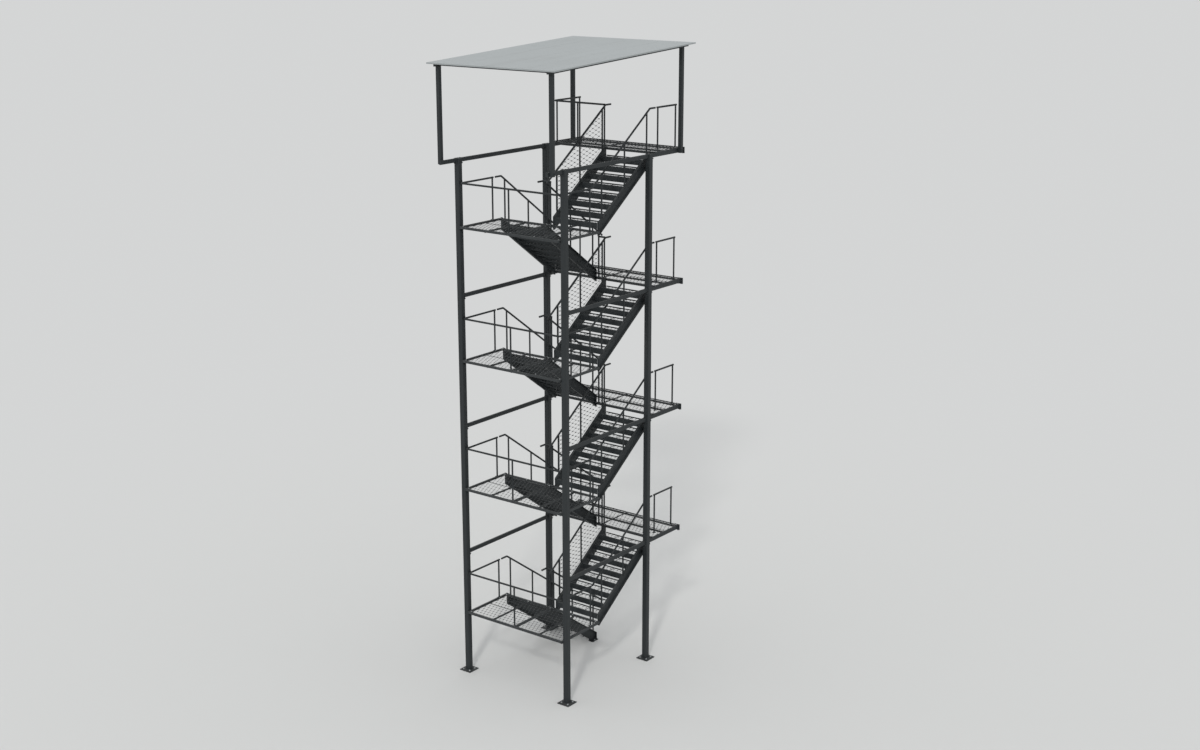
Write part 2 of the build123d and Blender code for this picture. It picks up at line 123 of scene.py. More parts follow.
def flight_slope():
    """Rise over going of the flights, from two treads that follow each other."""
    right = [box for box in solid_boxes("treads_1") if box[0].x > 0]
    first, second = sorted(right, key=lambda box: box[0].z)[:2]
    return (second[0].z - first[0].z) / (second[0].y - first[0].y)


# ---- Settings ----------------------------------------------------------------------------


def length(name, description, default, lowest):
    """A length that a user may change."""
    return FloatProperty(
        name=name, description=description, unit="LENGTH", min=lowest, default=default,
    )


def head_size(name, what, default, lowest):
    """The width of a hexagon head, across its flats."""
    return length(name, f"Width across the flats of {what}", default, lowest)


def angle(name, description, degrees):
    """An angle that a user may change."""
    return FloatProperty(
        name=name, description=description, subtype="ANGLE", default=math.radians(degrees),
    )


def share(name, description, default):
    """A share between 0 and 1 that a user may change."""
    return FloatProperty(
        name=name, description=description, subtype="FACTOR", min=0, max=1, default=default,
    )


def colour(name, description, default):
    """A colour that a user may change."""
    return FloatVectorProperty(
        name=name, description=description, subtype="COLOR", size=3, min=0, max=1,
        default=default,
    )


class FinishSettings(PropertyGroup):
    """Colours and the state of the coats."""

    steel_colour: colour(
        "Steel", "Powder coat of the frame and the flights", slot_colour("frame_steel"),
    )
    zinc_colour: colour(
        "Zinc", "Galvanised anchors and bolts, and steel that is rubbed bare",
        (0.56, 0.58, 0.59),
    )
    roof_colour: colour("Roof", "Coated roof sheets", slot_colour("roof_sheet"))
    trim_colour: colour("Roof trim", "Folded trim round the roof", slot_colour("roof_trim"))
    dust_colour: colour("Dust", "Dust that settles on what faces up", (0.19, 0.185, 0.175))
    dust: share("Dust amount", "How much dust lies on what faces up", 0.16)
    wear: share("Tread wear", "How far feet have rubbed the middle of the treads", 0.45)


class MeshSettings(PropertyGroup):
    """Sizes of the expanded metal in the decks, the treads and the panels."""

    long_way: length("Long way", "Length of a diamond, from bond to bond", 0.25, 0.02)
    short_way: length("Short way", "Width of a diamond, from bond to bond", 0.11, 0.01)
    strand: length("Strand", "Thickness of a strand", 0.0045, 0.001)
    bond: length("Bond", "Length of the solid steel where strands meet", 0.05, 0.002)
    bond_width: length(
        "Bond width", "Width of the solid steel where strands meet", 0.02, 0.002,
    )


class DeckSettings(PropertyGroup):
    """Sizes of the open decks on the landings."""

    sheet_width: length(
        "Sheet width", "Greatest width of one deck sheet with its edge bars", 1.8, 0.4,
    )
    sheet_gap: length("Sheet gap", "Gap between two deck sheets side by side", 0.005, 0.001)
    edge: length("Edge bar", "Thickness of the flat bars round a sheet", 0.005, 0.002)
    stiffener_pitch: length(
        "Stiffener pitch", "Distance between the flat bars under a sheet", 0.6, 0.1,
    )
    stiffener_depth: length(
        "Stiffener depth", "Depth of the flat bars under a sheet", 0.012, 0.005,
    )
    clip_pitch: length("Clip pitch", "Distance between the clips along a deck", 0.75, 0.1)
    clip_inset: length(
        "Clip inset", "Distance of the clips from a deck's edge", 0.035, 0.01,
    )


class TreadSettings(PropertyGroup):
    """Sizes of the open treads."""

    nosing: length("Nosing", "Width of the plate strip along the walked edge", 0.036, 0.01)
    plate: length(
        "Nosing plate", "Thickness of the strip along the walked edge", 0.004, 0.001,
    )
    bars: IntProperty(
        name="Bars", description="Flat bars under the mesh of one tread",
        min=0, max=8, default=2,
    )
    bar_depth: length(
        "Bar depth", "Depth of the flat bars under the mesh of one tread", 0.014, 0.004,
    )
    stud_length: length(
        "Stud length", "Length of a raised lozenge on the nosing", 0.022, 0.005,
    )
    stud_width: length("Stud width", "Width of a raised lozenge on the nosing", 0.007, 0.002)
    stud_height: length(
        "Stud height", "Height of a raised lozenge on the nosing", 0.0015, 0.0005,
    )
    stud_pitch: length(
        "Stud pitch", "Distance between lozenges along the nosing", 0.03, 0.01,
    )


class FixingSettings(PropertyGroup):
    """Sizes of bolts and welds."""

    anchor_flats: head_size("Anchor nut", "the anchor nuts at the ground", 0.030, 0.01)
    beam_flats: head_size("Beam bolt", "the bolts of beams and wall plates", 0.024, 0.01)
    tread_flats: head_size("Tread bolt", "the bolts that hold the treads", 0.019, 0.008)
    foot_flats: head_size("Post bolt", "the bolts of guard posts and deck clips", 0.013, 0.006)
    screw_flats: head_size("Roof screw", "the screws that hold the roof sheets", 0.009, 0.004)
    weld: length("Weld", "Leg of the fillet welds", 0.007, 0.002)


class RoofSettings(PropertyGroup):
    """Sizes of the roof sheets."""

    sheets: IntProperty(
        name="Sheets", description="Number of sheets side by side across the canopy",
        min=1, max=12, default=4,
    )
    joint: length("Joint", "Width of the joint between two sheets", 0.006, 0.001)
    screws: IntProperty(
        name="Screws", description="Screws across one sheet at each purlin",
        min=1, max=12, default=3,
    )


class StageSettings(PropertyGroup):
    """Camera, lamps and backdrop."""

    camera_place: FloatVectorProperty(
        name="Camera place", description="Where the camera stands",
        subtype="TRANSLATION", size=3, default=(25.91, -32.69, 19.24),
    )
    camera_heading: angle(
        "Camera heading", "Turn of the camera to the left of the wall's direction", 37.2,
    )
    camera_dip: angle("Camera dip", "How far the camera looks down", 15.22)
    lens: FloatProperty(
        name="Lens", description="Focal length in millimetres", min=10, default=50.5,
    )
    sun: FloatProperty(
        name="Sun", description="Strength of the main lamp", min=0, default=1.0,
    )
    sun_colour: colour("Sun colour", "Colour of the main lamp", (1.0, 0.985, 0.96))
    sun_tilt: angle("Sun tilt", "Turn of the main lamp away from straight down", 52)
    sun_heading: angle("Sun heading", "Turn of the main lamp round the stair", 27)
    sun_size: angle("Sun size", "Width of the main lamp in the sky", 5)
    sky: FloatProperty(
        name="Sky", description="Strength of the light from all round", min=0, default=0.9,
    )
    sky_colour: colour("Sky colour", "Colour of the light from all round", (0.975, 0.985, 1.0))
    floor_colour: colour("Floor", "Colour of the floor", (0.61, 0.615, 0.605))
    backdrop_colour: colour("Backdrop", "Colour behind the stair", (0.66, 0.668, 0.668))


SETTINGS = {
    "stair_finish": FinishSettings,
    "stair_mesh": MeshSettings,
    "stair_deck": DeckSettings,
    "stair_tread": TreadSettings,
    "stair_fixing": FixingSettings,
    "stair_roof": RoofSettings,
    "stair_stage": StageSettings,
}

# ---- Shaders -----------------------------------------------------------------------------

FINISH_NAME = "finish_{}"


class Socket:
    """A node's output, so that shader maths is written as a Python expression."""

    def __init__(self, shader, output):
        self.shader = shader
        self.output = output

    def __add__(self, other):
        return self.shader.maths("ADD", self, other)

    def __sub__(self, other):
        return self.shader.maths("SUBTRACT", self, other)

    def __rsub__(self, other):
        return self.shader.maths("SUBTRACT", other, self)

    def __mul__(self, other):
        return self.shader.maths("MULTIPLY", self, other)

    __radd__ = __add__
    __rmul__ = __mul__


class Shader:
    """The nodes of a material or the world. One method adds any node; the rest shorten it."""

    def __init__(self, owner):
        owner.use_nodes = True
        self.owner = owner
        self.tree = owner.node_tree
        self.end = self.tree.get_output_node("ALL").inputs["Surface"]
        self.surface = self.end.links[0].from_node

    def feed(self, socket, value):
        """Gives a socket a value or a link."""
        if isinstance(value, Socket):
            self.tree.links.new(value.output, socket)
        else:
            socket.default_value = value

    def node(self, kind, settings, sockets, output=0):
        """Adds a node: its settings are set first, and then the values or links of its sockets."""
        made = self.tree.nodes.new(kind)
        for name, value in settings.items():
            setattr(made, name, value)
        for name, value in sockets.items():
            self.feed(made.inputs[name], value)
        return Socket(self, made.outputs[output])

    def maths(self, operation, first, second):
        """Maths on two values."""
        return self.node("ShaderNodeMath", {"operation": operation}, {0: first, 1: second})

    def place(self, scale=(1, 1, 1)):
        """Object coordinates in metres, stretched by a scale."""
        where = self.node("ShaderNodeTexCoord", {}, {}, "Object")
        return self.node("ShaderNodeMapping", {}, {"Vector": where, "Scale": scale})

    def noise(self, place, scale, detail=4.0, roughness=0.55):
        """Soft noise, about 0 to 1."""
        sockets = {"Vector": place, "Scale": scale, "Detail": detail, "Roughness": roughness}
        return self.node("ShaderNodeTexNoise", {}, sockets)

    def ramp(self, value, start, end):
        """0 below a start and 1 above an end, with a smooth step between."""
        sockets = {"Value": value, "From Min": start, "From Max": end}
        return self.node("ShaderNodeMapRange", {"interpolation_type": "SMOOTHSTEP"}, sockets)

    def mix(self, factor, first, second):
        """Mixes two colours."""
        ends = [value if isinstance(value, Socket) else (*value, 1) for value in (first, second)]
        sockets = {0: factor, 6: ends[0], 7: ends[1]}
        return self.node("ShaderNodeMix", {"data_type": "RGBA"}, sockets, 2)

    def tone(self, base, factor):
        """Darkens or lightens a colour."""
        sockets = {0: tuple(base), "Scale": factor}
        return self.node("ShaderNodeVectorMath", {"operation": "SCALE"}, sockets)

    def facing_up(self):
        """1 on faces that look up, and 0 on the rest."""
        normal = self.node("ShaderNodeNewGeometry", {}, {}, "Normal")
        height = self.node("ShaderNodeSeparateXYZ", {}, {"Vector": normal}, "Z")
        return self.ramp(height, 0.5, 0.95)

    def bump(self, height, distance, strength=1.0):
        """A normal from a height."""
        sockets = {"Height": height, "Distance": distance, "Strength": strength}
        return self.node("ShaderNodeBump", {}, sockets)

    def seen(self):
        """1 for rays from the camera, and for those that metal or glass sends on."""
        camera, glossy, through = (
            self.node("ShaderNodeLightPath", {}, {}, f"Is {ray} Ray")
            for ray in ("Camera", "Glossy", "Transmission")
        )
        return self.maths("MAXIMUM", self.maths("MAXIMUM", camera, glossy), through)

    def finish(self, **sockets):
        """Feeds the surface, such as base_color or roughness, and gives its output."""
        for name, value in sockets.items():
            label = name.replace("_", " ").title().replace("Ior", "IOR")
            self.feed(self.surface.inputs[label], value)
        return Socket(self, self.surface.outputs[0])


def new_finish(name):
    """A shader for a new finish."""
    return Shader(bpy.data.materials.new(FINISH_NAME.format(name)))


def finish_named(name):
    """A finish that the first operator made."""
    return bpy.data.materials[FINISH_NAME.format(name)]


def painted_steel(name, base, settings, wear=0.0):
    """Satin powder coat with faint mottling, dust on what faces up and dirt that has run down."""
    shader = new_finish(name)
    place = shader.place()
    mottle = shader.noise(place, 1.7, 5)
    runs = shader.ramp(shader.noise(shader.place((16, 16, 0.55)), 1, 3), 0.52, 0.78)
    orange_peel = shader.noise(place, 420, 2)
    speckle = shader.noise(place, 55, 4, 0.7)
    coat = shader.tone(base, 0.52 + 0.36 * mottle)
    dirt = shader.mix(0.07 * runs, coat, settings.dust_colour)
    dust = settings.dust * shader.facing_up() * shader.ramp(speckle + mottle, 0.75, 1.2)
    surface = shader.mix(dust, dirt, settings.dust_colour)
    roughness = 0.46 + 0.12 * mottle + 0.14 * runs + 0.2 * dust
    if wear:
        rubbed = wear * shader.facing_up() * shader.ramp(speckle, 0.42, 0.62)
        surface = shader.mix(rubbed, surface, shader.tone(settings.zinc_colour, 0.32))
        roughness = roughness - 0.12 * rubbed
    shader.finish(
        base_color=surface, roughness=roughness, metallic=0.0, specular_ior_level=0.3,
        normal=shader.bump(orange_peel, 0.0002, 0.35),
    )


def galvanised_steel(name, base, brightness):
    """Dull zinc: grains of many tones, pale bloom and a slightly uneven skin."""
    shader = new_finish(name)
    place = shader.place()
    grains = shader.node("ShaderNodeTexVoronoi", {}, {"Vector": place, "Scale": 85.0}, "Color")
    grain = shader.node("ShaderNodeSeparateColor", {}, {"Color": grains}, "Red")
    bloom = shader.ramp(shader.noise(place, 3.1, 6, 0.65), 0.35, 0.75)
    skin = shader.noise(place, 130, 3)
    metal = shader.tone(base, brightness * (0.84 + 0.2 * grain + 0.12 * bloom))
    pale = [min(1, 1.12 * brightness * value) for value in base]
    shader.finish(
        base_color=shader.mix(0.35 * bloom, metal, pale), metallic=0.45 - 0.25 * bloom,
        roughness=0.36 + 0.12 * grain + 0.18 * bloom, normal=shader.bump(skin, 0.0003, 0.4),
    )


def coated_sheet(name, base, dust_colour):
    """Matt coated roof sheet with a slight grime that follows the fall of the roof."""
    shader = new_finish(name)
    place = shader.place()
    broad = shader.noise(place, 0.55, 5, 0.6)
    runs = shader.noise(shader.place((3.5, 0.25, 1)), 1, 4)
    specks = shader.ramp(shader.noise(place, 38, 4, 0.7), 0.6, 0.8)
    coat = shader.tone(base, 0.82 + 0.13 * broad)
    grime = shader.ramp(runs, 0.5, 0.85) * (0.12 + 0.1 * broad) + 0.05 * specks
    shader.finish(
        base_color=shader.mix(grime, coat, dust_colour), metallic=0.0,
        roughness=0.5 + 0.2 * broad, normal=shader.bump(shader.noise(place, 5, 2), 0.002, 0.25),
    )


def black_plastic(name):
    """Dull black plastic of the plugs in the rail ends."""
    shader = new_finish(name)
    grain = shader.noise(shader.place(), 600, 2)
    shader.finish(
        base_color=shader.tone((0.02, 0.02, 0.021), 0.8 + 0.4 * grain),
        roughness=0.55 + 0.2 * grain, metallic=0.0,
    )


# ---- Shapes ------------------------------------------------------------------------------

TUBE_SIDES = 20


def keep_mesh(name, shape):
    """Turns a shape into a mesh and frees the shape."""
    mesh = bpy.data.meshes.new(name)
    shape.to_mesh(mesh)
    shape.free()
    return mesh


def make_object(name, shape, material):
    """Makes an object of a shape, with its place in its mesh."""
    mesh = keep_mesh(name, shape)
    mesh.materials.append(material)
    made = bpy.data.objects.new(name, mesh)
    bpy.context.scene.collection.objects.link(made)
    return made


def make_piece(name, shape, finish, slot, *replaced):
    """Makes a piece that rides on the stair and stands for CAD nodes, if any."""
    piece = make_object(name, shape, finish_named(finish))
    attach(piece, "root")
    if replaced:
        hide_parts(*replaced)


def add_bar(shape, low, high):
    """A straight bar between two corners."""
    low, high = Vector(low), Vector(high)
    size = Matrix.Diagonal((*(high - low), 1))
    bmesh.ops.create_cube(shape, size=1, matrix=Matrix.Translation((low + high) / 2) @ size)


def add_cone(shape, sides, low_radius, high_radius, height, seat=0.0, layout=Matrix()):
    """A closed cone or cylinder that stands on a seat above the layout's own ground."""
    bmesh.ops.create_cone(
        shape, cap_ends=True, segments=sides, radius1=low_radius, radius2=high_radius,
        depth=height, matrix=layout @ Matrix.Translation((0, 0, seat + height / 2)),
    )


def round_over(shape, edges, width, steps):
    """Bevels edges."""
    bmesh.ops.bevel(
        shape, geom=edges, offset=width, offset_type="OFFSET", affect="EDGES",
        segments=steps, profile=0.5, material=-1,
    )


def edges_above(shape, height):
    """Edges of a shape that lie wholly above a height."""
    return [edge for edge in shape.edges if all(end.co.z > height for end in edge.verts)]


def pour(shape, part):
    """Adds a finished part to a shape and frees the part."""
    mesh = keep_mesh("part", part)
    shape.from_mesh(mesh)
    bpy.data.meshes.remove(mesh)


def stamp(shape, pattern, places):
    """Adds a copy of a small mesh at each place."""
    for place in places:
        copy = pattern.copy()
        copy.transform(place)
        shape.from_mesh(copy)
        bpy.data.meshes.remove(copy)


def pointing(axis, place=(0, 0, 0)):
    """A place whose own Z points along an axis."""
    return Matrix.Translation(place) @ Vector(axis).to_track_quat("Z", "Y").to_matrix().to_4x4()


def spread(low, high, pitch):
    """Places from a low to a high end, evenly, at about a pitch."""
    count = max(1, round((high - low) / pitch))
    return [low + (high - low) * number / count for number in range(count + 1)]


def hexagon_bolt(flats, shank=True):
    """A washer with a hexagon on it and the end of a threaded shank, seated at Z 0."""
    washer_radius, washer_height = 0.62 * flats, 0.12 * flats
    corner_radius, head_height = flats / 2 / math.cos(math.pi / 6), 0.5 * flats
    shank_radius, shank_height = 0.3 * flats, 0.3 * flats
    chamfer = 0.07 * flats
    shape = bmesh.new()
    add_cone(shape, 14, washer_radius, 0.6 * flats, washer_height)
    add_cone(shape, 6, corner_radius, corner_radius, head_height, washer_height)
    round_over(shape, edges_above(shape, washer_height + head_height / 2), chamfer, 1)
    if shank:
        seat = washer_height + head_height
        add_cone(shape, 10, shank_radius, 0.26 * flats, shank_height, seat)
    return keep_mesh("bolt_pattern", shape)


def weld_ring(half_width, half_depth, leg):
    """A fillet weld round a post of two widths that stands at Z 0."""
    root_two = math.sqrt(2)
    shape = bmesh.new()
    add_cone(
        shape, 4, (half_width + leg) * root_two, (half_width + 0.1 * leg) * root_two, leg,
        layout=Matrix.Rotation(math.pi / 4, 4, "Z"),
    )
    for vert in shape.verts:
        vert.co.y += math.copysign(half_depth - half_width, vert.co.y)
    return keep_mesh("weld_pattern", shape)


def bead(radius, leg):
    """A flat weld bead round a tube, with its crest at Z 0."""
    shape = bmesh.new()
    for way in (-1, 1):
        layout = pointing((0, 0, way))
        add_cone(shape, TUBE_SIDES, radius + 0.3 * leg, radius, leg / 2, layout=layout)
    return keep_mesh("bead_pattern", shape)


def end_plug(radius):
    """A plug in the end of a tube: a thin flange and a low crown, seated at Z 0."""
    flange = 0.002
    crown = 0.22 * radius
    shape = bmesh.new()
    add_cone(shape, TUBE_SIDES, radius, radius, flange)
    add_cone(shape, TUBE_SIDES, 0.94 * radius, 0.6 * radius, crown, flange)
    round_over(shape, edges_above(shape, flange + crown / 2), 0.5 * crown, 2)
    return keep_mesh("plug_pattern", shape)


# ---- Finishes ----------------------------------------------------------------------------


class STAIR_OT_finishes(Operator):
    """Makes the finishes and gives them to the CAD pieces"""

    bl_idname = "stair.finishes"
    bl_label = "Finishes"

    def execute(self, context):
        settings = context.scene.stair_finish
        steel = settings.steel_colour
        painted_steel("frame_steel", steel, settings)
        painted_steel("stringer_steel", [0.94 * value for value in steel], settings)
        painted_steel("rail_steel", [0.88 * value for value in steel], settings)
        painted_steel("tread_steel", [1.06 * value for value in steel], settings, settings.wear)
        painted_steel("mesh", slot_colour("mesh"), settings)
        painted_steel("grating", slot_colour("grating"), settings, settings.wear)
        painted_steel("landing_steel", slot_colour("landing_steel"), settings)
        galvanised_steel("bolt_zinc", settings.zinc_colour, 0.8)
        coated_sheet("roof_sheet", settings.roof_colour, settings.dust_colour)
        coated_sheet("roof_trim", settings.trim_colour, settings.dust_colour)
        black_plastic("plug_black")
        for node, piece in frame["nodes"].items():
            for material_slot in piece.material_slots:
                material_slot.material = finish_named(SLOT_OF[node])
        return {"FINISHED"}


# ---- Expanded metal ----------------------------------------------------------------------

ALONG_X = Vector((1, 0, 0))
ALONG_Y = Vector((0, 1, 0))
ALONG_Z = Vector((0, 0, 1))


def rectangle(low, high, z):
    """Corners of a level rectangle, in order."""
    return [
        Vector((low.x, low.y, z)), Vector((high.x, low.y, z)),
        Vector((high.x, high.y, z)), Vector((low.x, high.y, z)),
    ]


def reach_along(corners, direction):
    """Lowest and highest place of the corners along a direction."""
    places = [corner.dot(direction) for corner in corners]
    return min(places), max(places)


def cut_to(sheet, corners, across):
    """Cuts a flat sheet to an outline."""
    middle = sum(corners, Vector()) / len(corners)
    for first, second in zip(corners, corners[1:] + corners[:1]):
        outward = (second - first).cross(across)
        if outward.dot(middle - first) > 0:
            outward.negate()
        bmesh.ops.bisect_plane(
            sheet, geom=sheet.verts[:] + sheet.edges[:] + sheet.faces[:], dist=MERGE,
            plane_co=first, plane_no=outward, clear_outer=True,
        )


def add_expanded_metal(shape, corners, long_way, short_way, settings):
    """Diamonds of thin strands, with a thicker bond at each meeting, cut to an outline."""
    low_u, high_u = reach_along(corners, long_way)
    low_v, high_v = reach_along(corners, short_way)
    columns = math.ceil((high_u - low_u) / settings.long_way) + 1
    rows = math.ceil((high_v - low_v) / settings.short_way) + 1
    across = long_way.cross(short_way)
    half_long = long_way * settings.long_way / 2
    half_short = short_way * settings.short_way / 2
    centre = (
        long_way * low_u + short_way * low_v + across * corners[0].dot(across)
        + columns * half_long + rows * half_short
    )
    lean = Matrix((half_long - half_short, half_long + half_short, across)).transposed()
    cells = columns + rows
    sheet = bmesh.new()
    bmesh.ops.create_grid(
        sheet, x_segments=cells, y_segments=cells, size=cells / 2,
        matrix=Matrix.Translation(centre) @ lean.to_4x4(),
    )
    cut_to(sheet, corners, across)
    bonds = [
        vert.co.copy() for vert in sheet.verts
        if len(vert.link_edges) == 4 and not vert.is_boundary
    ]
    bmesh.ops.wireframe(
        sheet, faces=sheet.faces[:], thickness=settings.strand, offset=0, use_replace=True,
        use_boundary=True, use_even_offset=True,
    )
    pour(shape, sheet)
    turn = Matrix((long_way, short_way, across)).transposed()
    size = Matrix.Diagonal((settings.bond, settings.bond_width, 1.2 * settings.strand))
    for bond in bonds:
        layout = Matrix.Translation(bond) @ (turn @ size).to_4x4()
        bmesh.ops.create_cube(shape, size=1, matrix=layout)


# ---- Decks -------------------------------------------------------------------------------


def add_deck_sheet(shape, low, high, deck, mesh):
    """One sheet of a landing's deck: edge bars, stiffeners along X and the mesh on them."""
    inner_low, inner_high = low.x + deck.edge, high.x - deck.edge
    for x in (low.x, inner_high):
        add_bar(shape, (x, low.y, low.z), (x + deck.edge, high.y, high.z))
    for y in (low.y, high.y - deck.edge):
        add_bar(shape, (inner_low, y, low.z), (inner_high, y + deck.edge, high.z))
    top = high.z - mesh.strand
    half = deck.edge / 2
    for y in spread(low.y, high.y, deck.stiffener_pitch)[1:-1]:
        corner = (inner_low, y - half, top - deck.stiffener_depth)
        add_bar(shape, corner, (inner_high, y + half, top))
    edge = Vector((deck.edge, deck.edge, 0))
    corners = rectangle(low + edge, high - edge, high.z - mesh.strand / 2)
    add_expanded_metal(shape, corners, ALONG_Y, ALONG_X, mesh)


def add_deck(shape, low, high, deck, mesh):
    """Sheets side by side over a landing, all of one width."""
    count = math.ceil((high.x - low.x) / deck.sheet_width)
    width = (high.x - low.x - (count - 1) * deck.sheet_gap) / count
    for number in range(count):
        start = low.x + number * (width + deck.sheet_gap)
        sheet_low = Vector((start, low.y, low.z))
        sheet_high = Vector((start + width, high.y, high.z))
        add_deck_sheet(shape, sheet_low, sheet_high, deck, mesh)


def deck_clip(flats):
    """A saddle of flat bar over the mesh with a bolt through it, seated at Z 0."""
    half_length, half_width, thickness = 1.8 * flats, flats, 0.2 * flats
    shape = bmesh.new()
    add_bar(shape, (-half_length, -half_width, 0), (half_length, half_width, thickness))
    upright = [edge for edge in shape.edges if edge.calc_length() < 1.5 * thickness]
    round_over(shape, upright, 0.6 * half_width, 3)
    stamp(shape, hexagon_bolt(flats, shank=False), [Matrix.Translation((0, 0, thickness))])
    return keep_mesh("clip_pattern", shape)


class STAIR_OT_decks(Operator):
    """Makes the open deck of every landing"""

    bl_idname = "stair.decks"
    bl_label = "Decks"

    def execute(self, context):
        deck = context.scene.stair_deck
        mesh = context.scene.stair_mesh
        for storey in STOREYS:
            node = f"gratings_{storey}"
            boxes = sorted(solid_boxes(node), key=lambda box: box[0].z)
            for place, (low, high) in zip(("mid", "door"), boxes):
                shape = bmesh.new()
                add_deck(shape, low, high, deck, mesh)
                make_piece(f"{place}_deck_{storey}", shape, "grating", "grating", node)
        return {"FINISHED"}


class STAIR_OT_deck_clips(Operator):
    """Makes the clips that hold the decks on their frames"""

    bl_idname = "stair.deck_clips"
    bl_label = "Deck clips"

    def execute(self, context):
        deck = context.scene.stair_deck
        clip = deck_clip(context.scene.stair_fixing.foot_flats)
        inset = Vector((deck.clip_inset, deck.clip_inset, 0))
        shape = bmesh.new()
        for storey in STOREYS:
            for low, high in solid_boxes(f"gratings_{storey}"):
                first, last = low + inset, high - inset
                places = [
                    Matrix.Translation((x, y, high.z))
                    for x in spread(first.x, last.x, deck.clip_pitch) for y in (first.y, last.y)
                ]
                stamp(shape, clip, places)
        make_piece("deck_clips", shape, "bolt_zinc", "landing_steel")
        return {"FINISHED"}


# ---- Mesh panels -------------------------------------------------------------------------

PANEL_FRAME = 0.025


def panel_corners(low, high, slope):
    """Corners of a panel that leans with the flight, from its box, round from the low front one."""
    rise = slope * (high.y - low.y)
    x = high.x
    return [
        Vector((x, low.y, low.z)), Vector((x, high.y, low.z + rise)),
        Vector((x, high.y, high.z)), Vector((x, low.y, high.z - rise)),
    ]


def add_panel_frame(shape, corners, thickness):
    """Flat bars round a panel, mitred at the corners. Gives the corners of the opening."""
    face = shape.faces.new([shape.verts.new(corner) for corner in corners])
    bmesh.ops.inset_region(
        shape, faces=[face], thickness=PANEL_FRAME, depth=0, use_even_offset=True,
        use_boundary=True,
    )
    opening = [vert.co.copy() for vert in face.verts]
    bmesh.ops.delete(shape, geom=[face], context="FACES_ONLY")
    moved = bmesh.ops.extrude_face_region(shape, geom=shape.faces[:])
    verts = [item for item in moved["geom"] if isinstance(item, bmesh.types.BMVert)]
    bmesh.ops.translate(shape, verts=verts, vec=(-thickness, 0, 0))
    bmesh.ops.recalc_face_normals(shape, faces=shape.faces[:])
    return opening


class STAIR_OT_mesh_panels(Operator):
    """Makes the panels of expanded metal between the flights"""

    bl_idname = "stair.mesh_panels"
    bl_label = "Mesh panels"

    def execute(self, context):
        settings = context.scene.stair_mesh
        slope = flight_slope()
        panels = sorted(solid_boxes("mesh_panels"), key=lambda box: box[0].z)
        for storey, (low, high) in zip(STOREYS, panels):
            shape = bmesh.new()
            thickness = high.x - low.x
            opening = add_panel_frame(shape, panel_corners(low, high, slope), thickness)
            corners = [corner - ALONG_X * thickness / 2 for corner in opening]
            add_expanded_metal(shape, corners, ALONG_Y, ALONG_Z, settings)
            make_piece(f"mesh_panel_{storey}", shape, "mesh", "mesh", "mesh_panels")
        return {"FINISHED"}


# ---- Treads ------------------------------------------------------------------------------


def lozenge(settings):
    """A raised lozenge with sloped flanks, seated at Z 0."""
    shape = bmesh.new()
    add_cone(shape, 6, 0.5, 0.3, 1)
    size = (settings.stud_length, settings.stud_width, settings.stud_height)
    bmesh.ops.scale(shape, verts=shape.verts[:], vec=size)
    return keep_mesh("lozenge", shape)


def add_end_plate(shape, low, high, heel_drop):
    """A plate that is as deep as the riser at the nose and tapers to a shallower heel."""
    plate = bmesh.new()
    add_bar(plate, low, high)
    slope = Vector((0, high.y - low.y, high.z - heel_drop - low.z))
    cut = bmesh.ops.bisect_plane(
        plate, geom=plate.verts[:] + plate.edges[:] + plate.faces[:], dist=MERGE,
        plane_co=low, plane_no=slope.cross(ALONG_X), clear_inner=True,
    )
    rim = [item for item in cut["geom_cut"] if isinstance(item, bmesh.types.BMEdge)]
    bmesh.ops.holes_fill(plate, edges=rim)
    pour(shape, plate)


def tread_pattern(points, settings, mesh):
    """One open tread, laid out from the middle of its nose: its walked face is at Z 0."""
    x_marks, y_marks, z_marks = (marks(points, axis) for axis in range(3))
    half = (x_marks[-1] - x_marks[0]) / 2
    end = x_marks[1] - x_marks[0]
    inner = half - end
    depth = y_marks[-1] - y_marks[0]
    riser = min(y_marks[1] - y_marks[0], y_marks[-1] - y_marks[-2])
    back = depth - riser
    deck = z_marks[-2] - z_marks[-1]
    bottom = z_marks[0] - z_marks[-1]
    heel_drop = z_marks[-1] - max(
        min(point.z for point in points if abs(point.y - y) < MILLIMETRE)
        for y in (y_marks[0], y_marks[-1])
    )
    shape = bmesh.new()
    add_bar(shape, (-inner, 0, bottom), (inner, riser, -settings.plate))
    add_bar(shape, (-inner, 0, -settings.plate), (inner, settings.nosing, 0))
    add_bar(shape, (-inner, back, deck), (inner, depth, 0))
    for x in (-half, inner):
        add_end_plate(shape, Vector((x, 0, bottom)), Vector((x + end, depth, 0)), heel_drop)
    for x in spread(-inner, inner, 2 * inner / (settings.bars + 1))[1:-1]:
        corner = (x - riser / 2, settings.nosing, -mesh.strand - settings.bar_depth)
        add_bar(shape, corner, (x + riser / 2, back, -mesh.strand))
    low, high = Vector((-inner, settings.nosing, 0)), Vector((inner, back, 0))
    corners = rectangle(low, high, -mesh.strand / 2)
    add_expanded_metal(shape, corners, ALONG_Y, ALONG_X, mesh)
    studs = []
    margin = settings.stud_pitch
    for number, x in enumerate(spread(-inner + margin, inner - margin, settings.stud_pitch)):
        turn = Matrix.Rotation(math.radians(45 if number % 2 else -45), 4, "Z")
        studs.append(Matrix.Translation((x, settings.nosing / 2, 0)) @ turn)
    stamp(shape, lozenge(settings), studs)
    return keep_mesh("tread_pattern", shape)


